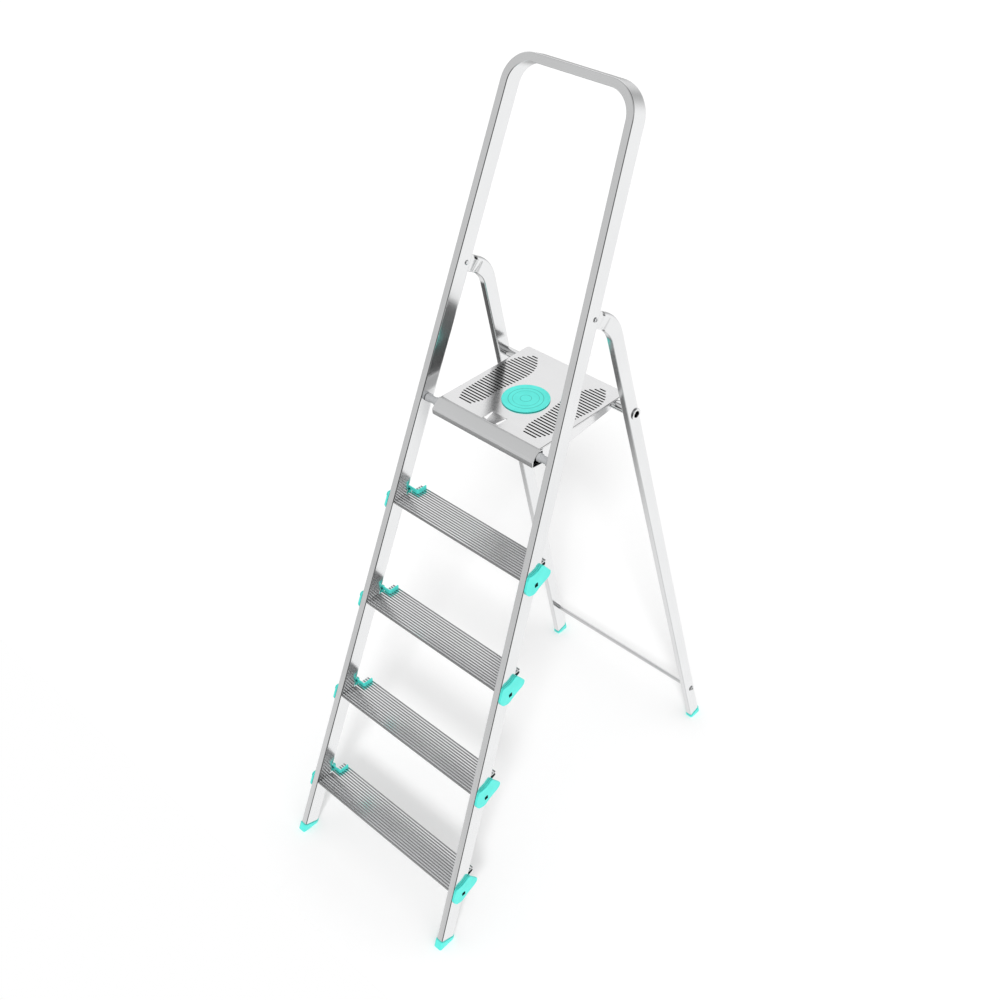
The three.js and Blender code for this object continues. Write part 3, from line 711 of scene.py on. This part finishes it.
def build_plate():
    low, high = box_mm("platform_plate")
    top = high.z
    data = bmesh.new()

    def ring(outline, z):
        return [data.verts.new(Vector((x, y, z)) * MM) for x, y in outline]

    outline = plate_outline(low, high)
    levels = [(top - drop, inset) for drop, inset in PLATE_EDGE]
    edge = [ring(shrunk(outline, inset), z) for z, inset in levels]
    for here, there in zip(edge, edge[1:]):
        wall(data, here, there)
    top_holes, bottom_holes = [], []

    def punch(opening, taper, look):
        mouth = ring(shrunk(opening, -0.25), top)
        throat = ring(opening, top - PUNCH_EASE)
        under = ring(shrunk(opening, taper), top - PLATE_SHEET)
        wall(data, mouth, throat, look)
        wall(data, throat, under, look)
        top_holes.append(mouth)
        bottom_holes.append(under)

    for row in range(SLOT_ROWS):
        inner, outer = sole_span(row / (SLOT_ROWS - 1))
        y = low.y + FIRST_SLOT + row * SLOT_PITCH
        # The slots' walls take material 1, the painted slot shade
        punch(slot_outline(inner, outer, y), SLOT_TAPER, 1)
        punch(slot_outline(-outer, -inner, y), SLOT_TAPER, 1)
    root, tip = low.y + TONGUE_ROOT, low.y + TONGUE_TIP
    wide = TONGUE_HALF_ROOT + TONGUE_SLIT
    window = rounded_outline([(-wide, tip), (wide, tip), (wide, root), (-wide, root)], 0.8, 2)
    punch(window, 0, 0)
    pan = rounded_outline([(x, high.y - ahead) for x, ahead in PAN], 3)
    rim = ring(pan, top)
    bed = ring(shrunk(pan, PAN_SLOPE), top - PAN_DROP)
    wall(data, rim, bed)
    cap(data, [bed])
    cap(data, [edge[0], *top_holes, rim])
    cap(data, [edge[-1], *bottom_holes])
    build_tongue(data, root, tip, top)
    piece_from(
        "slotted_plate", data, "platform", [rolled, slot_painted_shade], ["platform_plate"], 25)


def build_tongue(data, root, tip, top):
    """The pressed tongue, which slopes down from its root towards the front."""
    stations = 8
    start, end = root + 0.6, tip + 0.8
    rows = []
    for i in range(stations + 1):
        t = i / stations
        half = TONGUE_HALF_ROOT + (TONGUE_HALF_TIP - TONGUE_HALF_ROOT) * t
        y = start + (end - start) * t
        z = top - TONGUE_DROP * smooth(0.15 + 0.85 * t)
        under = z - TONGUE_SHEET
        corners = [
            (-half, under), (half, under), (half, z - 0.25), (half - 0.4, z), (0.4 - half, z),
            (-half, z - 0.25)]
        rows.append([data.verts.new(Vector((x, y, height)) * MM) for x, height in corners])
    for here, there in zip(rows, rows[1:]):
        wall(data, here, there)
    cap(data, [rows[0]])
    cap(data, [rows[-1]])


FLANGE_FRONT = 9  # all four behind the plate's front edge
FLANGE_FRONT_EASE = 15
FLANGE_REAR_EASE = 209
FLANGE_REAR = 212
FLANGE_REAR_DROP = 16
REAR_LIP_DROP = 11
REAR_LIP_INSET = 8


def folded_sheet(name, section, start, end, ease):
    """A sheet folded down from the plate, drawn in Y and Z, from start to end across."""
    data = bmesh.new()
    rows = [[data.verts.new(Vector((x, y, z)) * MM) for y, z in section] for x in (start, end)]
    wall(data, *rows)
    cap(data, [rows[0]])
    cap(data, [rows[1]])
    rounded(piece_from(name, data, "platform", [rolled]), ease)


def build_flanges():
    """The plate's folded sides, and its rear lip."""
    low, high = box_mm("platform_plate")
    under = high.z - PLATE_SHEET
    rear = high.z - FLANGE_REAR_DROP
    section = [
        (low.y + FLANGE_FRONT, under), (low.y + FLANGE_FRONT, low.z + 4),
        (low.y + FLANGE_FRONT_EASE, low.z), (low.y + FLANGE_REAR_EASE, rear),
        (low.y + FLANGE_REAR, rear + 3), (low.y + FLANGE_REAR, under)]
    for side, sign in SIDES.items():
        folded_sheet(
            f"plate_flange_{side}", section, sign * high.x, sign * (high.x - PLATE_SHEET), 0.9)
    half = high.x - REAR_LIP_INSET
    inside, bottom = high.y - PLATE_SHEET, high.z - REAR_LIP_DROP
    lip = [(inside, under), (inside, bottom), (high.y, bottom), (high.y, under)]
    folded_sheet("plate_rear_lip", lip, -half, half, 0.8)


# Pairs are [behind the plate's front edge, below its top].
NOSING_OUTLINE = [
    (-0.6, 0.6), (-20.5, 16.5), (-22.4, 19), (-21.4, 31.5), (-19, 34), (7, 36.4), (8.6, 35),
    (8.6, PLATE_SHEET + GAP), (-0.6, PLATE_SHEET + GAP)]
NOSING_HOLLOW = [(-2.6, 5.1), (-18.6, 17.6), (-19.6, 31), (6.8, 34), (6.8, 5.1)]
NOSING_END_EASE = 0.3


def build_nosing():
    half = box_mm("platform_nosing")[1].x
    plate_low, plate_high = box_mm("platform_plate")
    outlines = [
        [(plate_low.y + back, plate_high.z - drop) for back, drop in rounded_outline(points, radius, 4)]
        for points, radius in ((NOSING_OUTLINE, 1.2), (NOSING_HOLLOW, 1.5))]
    data = prism_across(outlines, half, NOSING_END_EASE)
    piece_from(
        "nosing_extrusion", data, "platform",
        [satin_across], ["platform_nosing"], 25)


BADGE_RIM = 0.5  # the rim stands this far over the face
BADGE_RINGS = [(36, 1.4), (27, 1), (12, 1.2)]  # outer radius and width


def build_badge():
    """A plain turquoise disc with a raised rim and darker rings."""
    low, high = box_mm("platform_badge")
    middle = Vector(((low.x + high.x) / 2, (low.y + high.y) / 2, low.z))
    radius = high.x
    height = high.z - low.z
    face = height - BADGE_RIM
    profile = [
        (0, radius - 0.8), (0.5, radius - 0.1), (1, radius), (height - 0.7, radius),
        (height - 0.2, radius - 0.3), (height, radius - 1), (height, radius - 3.2),
        (height - 0.15, radius - 3.8), (face, radius - 4.4), (face, 1)]
    piece_from(
        "round_badge", lathe(profile, middle, 128, upright=True), "platform",
        [turquoise], ["platform_badge"], 40)
    for number, (outer, width) in enumerate(BADGE_RINGS, 1):
        ring = [(face - 0.3, outer), (face + 0.12, outer - 0.15), (face + 0.12, outer - width + 0.15),
                (face - 0.3, outer - width)]
        piece_from(
            f"badge_ring_{number}", lathe(ring, middle, 96, closed=True, upright=True), "platform",
            [dark_turquoise], (), 40)


def build_hinge():
    low, high = box_mm("platform_axle")
    ease = 0.6
    end = high.x
    radius = (high.z - low.z) / 2
    profile = [(-end, radius - ease), (ease - end, radius), (end - ease, radius), (end, radius - ease)]
    piece_from(
        "axle_rod", lathe(profile, Vector((0, axle.y, axle.z)), 48), "front", [rivet_metal],
        ["platform_axle"])
    for side, sign in SIDES.items():
        low, high = box_mm(f"platform_bush_{side}")
        near, far = sorted((abs(low.x), abs(high.x)))
        shoulder = box_mm("platform_nosing")[1].x + GAP
        bore = radius + RUNNING_GAP
        outer = (high.z - low.z) / 2
        profile = [
            (near, bore), (near, 5.6), (near + 0.5, 5.8), (shoulder, 5.8), (shoulder, outer - 0.6),
            (shoulder + 0.6, outer), (shoulder + 6, outer), (shoulder + 7, outer - 1.6),
            (far - 9, outer - 1.6), (far - 8, outer), (far - 0.6, outer), (far, outer - 0.6), (far, bore)]
        profile = [(sign * along, r) for along, r in profile]
        piece_from(
            f"hinge_bush_{side}", lathe(profile, Vector((0, axle.y, axle.z)), 64, closed=True),
            "platform", [grey], [f"platform_bush_{side}"])


# ---- rear legs ----
BEND_RADIUS = 80
BEND_TURN = math.pi / 4
CREASE_START = 38  # the tube begins to flatten this far from its pivot
CREASE_END = 30.5
CREASE_SLANT = 0.67  # the crease runs down the neck by this much per millimetre of its depth


def leg_stations():
    """Middle of the tube, its turn, its distance from the pivot, and its depth, up the leg."""
    eye_along, eye_depth = rear_place(pivot)
    bend_middle = LEG_DEPTH / 2 - BEND_RADIUS * (1 - math.cos(BEND_TURN))
    neck_rise = (bend_middle - eye_depth) / math.tan(BEND_TURN)
    neck_length = neck_rise / math.cos(BEND_TURN)
    bend_start = eye_along - neck_rise - BEND_RADIUS * math.sin(BEND_TURN)
    stations = [(LEG_END, LEG_DEPTH / 2, 0, math.inf, LEG_DEPTH)]
    steps = 28
    for i in range(steps + 1):
        turn = BEND_TURN * i / steps
        along = bend_start + BEND_RADIUS * math.sin(turn)
        middle = LEG_DEPTH / 2 - BEND_RADIUS * (1 - math.cos(turn))
        from_eye = neck_length + BEND_RADIUS * (BEND_TURN - turn)
        stations.append((along, middle, turn, from_eye, LEG_DEPTH))

    def on_neck(from_eye, depth):
        stations.append((
            eye_along - from_eye * math.cos(BEND_TURN),
            eye_depth + from_eye * math.sin(BEND_TURN), BEND_TURN, from_eye, depth))

    neck_steps = 18
    for i in range(1, neck_steps + 1):
        on_neck(neck_length * (1 - i / neck_steps), LEG_DEPTH)
    round_steps = 8
    for i in range(1, round_steps + 1):
        angle = 1.45 * i / round_steps
        on_neck(-LEG_DEPTH / 2 * math.sin(angle), LEG_DEPTH * math.cos(angle))
    return stations


def leg_rings(sign):
    section = tube_section(LEG_WIDTH, LEG_DEPTH, LEG_CORNER)
    rings = []
    for along, middle, turn, from_eye, depth in leg_stations():
        ring = []
        for inset, section_depth in section:
            reach = (section_depth / LEG_DEPTH - 0.5) * depth
            past = CREASE_START - CREASE_SLANT * reach - from_eye
            flat = smooth(past / (CREASE_START - CREASE_END))
            in_tube = leg_half(along) - inset
            in_eye = EYE_MIDDLE + (0.5 - inset / LEG_WIDTH) * EYE_THICKNESS
            ring.append(rear_point(
                sign * (in_tube + (in_eye - in_tube) * flat),
                along + reach * math.sin(turn),
                middle + reach * math.cos(turn)))
        rings.append(ring)
    return rings


def tube_size(node, collar):
    """Centre, radius and half length of a cross tube from its box and its collar's overhang."""
    low, high = box_mm(node)
    centre = (low + high) / 2
    return Vector((0, centre.y, centre.z)), (high.z - low.z) / 2 - collar, high.x


def cut_by(piece, cutters):
    """Cuts closed shapes out of the piece."""
    for data in cutters:
        bmesh.ops.recalc_face_normals(data, faces=data.faces)
        mesh = bpy.data.meshes.new("cutter")
        data.to_mesh(mesh)
        data.free()
        cutter = bpy.data.objects.new("cutter", mesh)
        scene.collection.objects.link(cutter)
        cut = piece.modifiers.new("hole", "BOOLEAN")
        cut.object = cutter
        cut.solver = "EXACT"
        evaluated = piece.evaluated_get(bpy.context.evaluated_depsgraph_get())
        result = bpy.data.meshes.new_from_object(evaluated)
        piece.modifiers.clear()
        piece.data = result
        bpy.data.objects.remove(cutter)
    soften(piece, 32)


def drill(centre, radius):
    """A cutter for a round hole right across the ladder."""
    half = LEG_HALF + OVERSHOOT
    return lathe([(-half, radius), (half, radius)], centre)


SUPPORT_COLLAR = 2.4  # how far a cross tube's flared end stands out round the tube
BRACE_COLLAR = 2.2
SUPPORT_BORE = 7.2
BRACE_BORE = 3.4
FLARE_THICKNESS = 2


def build_rear_legs():
    holes = [(pivot, RIVET_RADIUS + RUNNING_GAP)]
    for node, collar in (("platform_support_tube", SUPPORT_COLLAR), ("rear_brace_tube", BRACE_COLLAR)):
        centre, radius, _ = tube_size(node, collar)
        holes.append((centre, radius + RUNNING_GAP))
    for side, sign in SIDES.items():
        piece = piece_from(
            f"bent_leg_{side}", loft(leg_rings(sign)), "rear", [satin],
            [f"rear_leg_{side}"])
        cut_by(piece, [drill(centre, radius) for centre, radius in holes])


def flared_tube(name, node, collar, bore):
    centre, radius, tip = tube_size(node, collar)
    face = tip - FLARE_THICKNESS
    rim = radius + collar
    end = [
        (face, radius), (face, rim - 0.25), (face + 0.3, rim), (face + 0.8, rim), (face + 1.3, rim - 0.4),
        (face + 1.8, rim - 1.4), (tip, bore + 1.4), (tip - 0.2, bore + 0.6), (tip - 0.9, bore)]
    profile = [(-x, r) for x, r in reversed(end)] + end
    data = lathe(profile, centre, 64, closed=True)
    piece_from(name, data, "rear", [drawn], [node], 40)


def build_cross_tubes():
    flared_tube("support_tube", "platform_support_tube", SUPPORT_COLLAR, SUPPORT_BORE)
    flared_tube("brace_tube", "rear_brace_tube", BRACE_COLLAR, BRACE_BORE)


def build_rivets():
    for side, sign in SIDES.items():
        low, high = box_mm(f"pivot_rivet_{side}")
        near, far = sorted((abs(low.x), abs(high.x)))
        head = (high.z - low.z) / 2
        profile = [
            (near, 1.6), (near + 0.1, 2.4), (near + 0.5, 4), (near + 1, head - 0.5), (near + 1.6, head),
            (near + 1.6, RIVET_RADIUS), (far - 1.5, RIVET_RADIUS), (far - 1.5, head - 0.1), (far - 1.2, head),
            (far - 0.8, head - 0.3), (far - 0.3, 4.4), (far, 3.7), (far - 0.1, 3.2), (far - 0.5, 2.6),
            (far - 1.4, 2.3), (far - 1.4, 0.8)]
        profile = [(sign * along, r) for along, r in profile]
        piece_from(
            f"leg_rivet_{side}", lathe(profile, pivot, 48), "front", [rivet_metal],
            [f"pivot_rivet_{side}"], 50)


# ---- feet keep their CAD shape ----
def finish_feet():
    for end in ("front", "rear"):
        for side in SIDES:
            foot = frame["nodes"][f"{end}_foot_{side}"]
            foot.data.materials.clear()
            foot.data.materials.append(turquoise)
            foot.data.shade_smooth()
            foot.data.set_sharp_from_angle(angle=math.radians(32))
            rounded(foot, 0.5)


build_front_frame()
build_treads()
build_clips()
build_plate()
build_flanges()
build_nosing()
build_badge()
build_hinge()
build_rear_legs()
build_cross_tubes()
build_rivets()
finish_feet()


# ---- studio ----
def build_camera():
    focal = 1271.3  # in thousandths of the picture's width
    yaw, pitch, roll = (math.radians(a) for a in (43.52, -38.37, -0.49))
    forward = Vector((
        -math.sin(yaw) * math.cos(pitch), math.cos(yaw) * math.cos(pitch), math.sin(pitch)))
    level = Vector((math.cos(yaw), math.sin(yaw), 0))
    up = level.cross(forward)
    right = level * math.cos(roll) + up * math.sin(roll)
    above = up * math.cos(roll) - level * math.sin(roll)
    data = bpy.data.cameras.new("camera")
    data.sensor_width = 36
    data.lens = data.sensor_width * focal / 1000
    camera = bpy.data.objects.new("camera", data)
    turn = Matrix((right, above, -forward)).transposed().to_4x4()
    place = Vector((1395.3, -1024.2 + FLOOR_Y, 2453.0)) * MM
    camera.matrix_world = Matrix.Translation(place) @ turn
    scene.collection.objects.link(camera)
    scene.camera = camera


FLOOR_CORNERS = [(-11, -0.62), (7, -0.62), (7, 11), (-11, 11)]  # metres; none of it far in front


def build_floor():
    data = bmesh.new()
    data.faces.new([data.verts.new((x, y, 0)) for x, y in FLOOR_CORNERS])
    mesh = bpy.data.meshes.new("floor")
    data.to_mesh(mesh)
    data.free()
    floor = bpy.data.objects.new("floor", mesh)
    look, tree, shader = material("studio_floor", (0.95, 0.95, 0.95), 0, 0.9)
    shader.inputs["Specular IOR Level"].default_value = 0
    mesh.materials.append(look)
    scene.collection.objects.link(floor)
    floor.visible_glossy = False  # the dome below the horizon is what metal mirrors


def toward(tree, place, direction):
    """Cosine of the angle between a ray and a direction."""
    dot = tree.nodes.new("ShaderNodeVectorMath")
    dot.operation = "DOT_PRODUCT"
    dot.inputs[1].default_value = Vector(direction).normalized()
    tree.links.new(place, dot.inputs[0])
    return dot.outputs["Value"]


def panel(tree, place, under, direction, inner, outer, value):
    """Mixes the studio's brightness towards value around a direction, between two angles."""
    ramp = tree.nodes.new("ShaderNodeMapRange")
    ramp.interpolation_type = "SMOOTHSTEP"
    ramp.inputs["From Min"].default_value = math.cos(math.radians(outer))
    ramp.inputs["From Max"].default_value = math.cos(math.radians(inner))
    tree.links.new(toward(tree, place, direction), ramp.inputs["Value"])
    mix = tree.nodes.new("ShaderNodeMix")
    tree.links.new(ramp.outputs["Result"], mix.inputs["Factor"])
    tree.links.new(under, mix.inputs["A"])
    mix.inputs["B"].default_value = value
    return mix.outputs["Result"]


# What the metal mirrors: direction, inner and outer angle in degrees, brightness.
PANELS = [
    ((-0.54, 0.57, 0.55), 20, 48, 1.15),
    ((-0.55, -0.46, 0.65), 12, 30, 1),
    ((-0.58, -0.80, -0.05), 20, 60, 0.8),
    ((0.54, 0.57, 0.62), 15, 42, 0.16),
    ((-0.45, -0.05, 0.89), 8, 30, 0.3),
    ((0.69, -0.70, -0.16), 18, 44, 0.02),
    ((-0.48, 0.42, 0.77), 15, 30, 1.15),
    ((0.5, 0.58, -0.6), 34, 66, 1.28),
    ((-0.45, -0.18, -0.87), 14, 42, 1.1),
    ((-0.57, -0.37, -0.75), 5, 13, 0.02),
    ((-0.57, -0.66, -0.48), 8, 16, 1)]
MIRRORED_BASE = 0.6
FILL_AXIS = (0.75, 0.15, 0.64)
FILL_MEAN = 0.9
FILL_SWING = 0.4


def build_studio():
    """Metal mirrors a dome of pale and dark panels; everything else is lit by a soft slanted fill."""
    world = bpy.data.worlds.new("studio")
    world.use_nodes = True
    tree = world.node_tree
    tree.nodes.clear()
    scene.world = world
    place = tree.nodes.new("ShaderNodeTexCoord").outputs["Generated"]
    base = tree.nodes.new("ShaderNodeValue")
    base.outputs[0].default_value = MIRRORED_BASE
    mirrored = base.outputs[0]
    for direction, inner, outer, value in PANELS:
        mirrored = panel(tree, place, mirrored, direction, inner, outer, value)
    fill = tree.nodes.new("ShaderNodeMath")
    fill.operation = "MULTIPLY_ADD"
    tree.links.new(toward(tree, place, FILL_AXIS), fill.inputs[0])
    fill.inputs[1].default_value = FILL_SWING
    fill.inputs[2].default_value = FILL_MEAN
    path = tree.nodes.new("ShaderNodeLightPath")
    strength = tree.nodes.new("ShaderNodeMix")
    tree.links.new(path.outputs["Is Glossy Ray"], strength.inputs["Factor"])
    tree.links.new(fill.outputs[0], strength.inputs["A"])
    tree.links.new(mirrored, strength.inputs["B"])
    studio = tree.nodes.new("ShaderNodeBackground")
    tree.links.new(strength.outputs["Result"], studio.inputs["Strength"])
    plain = tree.nodes.new("ShaderNodeBackground")
    plain.inputs["Color"].default_value = (1, 1, 1, 1)
    choose = tree.nodes.new("ShaderNodeMixShader")
    tree.links.new(path.outputs["Is Camera Ray"], choose.inputs[0])
    tree.links.new(studio.outputs[0], choose.inputs[1])
    tree.links.new(plain.outputs[0], choose.inputs[2])
    output = tree.nodes.new("ShaderNodeOutputWorld")
    tree.links.new(choose.outputs[0], output.inputs["Surface"])


KEY_DIRECTION = (0.46, -0.60, 0.66)  # towards the light
KEY_STRENGTH = 1.2
KEY_ANGLE = 10


def build_key_light():
    """A soft distant light from in front of the ladder and to its right."""
    data = bpy.data.lights.new("key", "SUN")
    data.energy = KEY_STRENGTH
    data.angle = math.radians(KEY_ANGLE)
    key = bpy.data.objects.new("key", data)
    key.rotation_mode = "QUATERNION"
    key.rotation_quaternion = Vector(KEY_DIRECTION).to_track_quat("Z", "Y")
    key.visible_glossy = False
    scene.collection.objects.link(key)


build_camera()
build_floor()
build_studio()
build_key_light()
scene.view_settings.view_transform = "Standard"
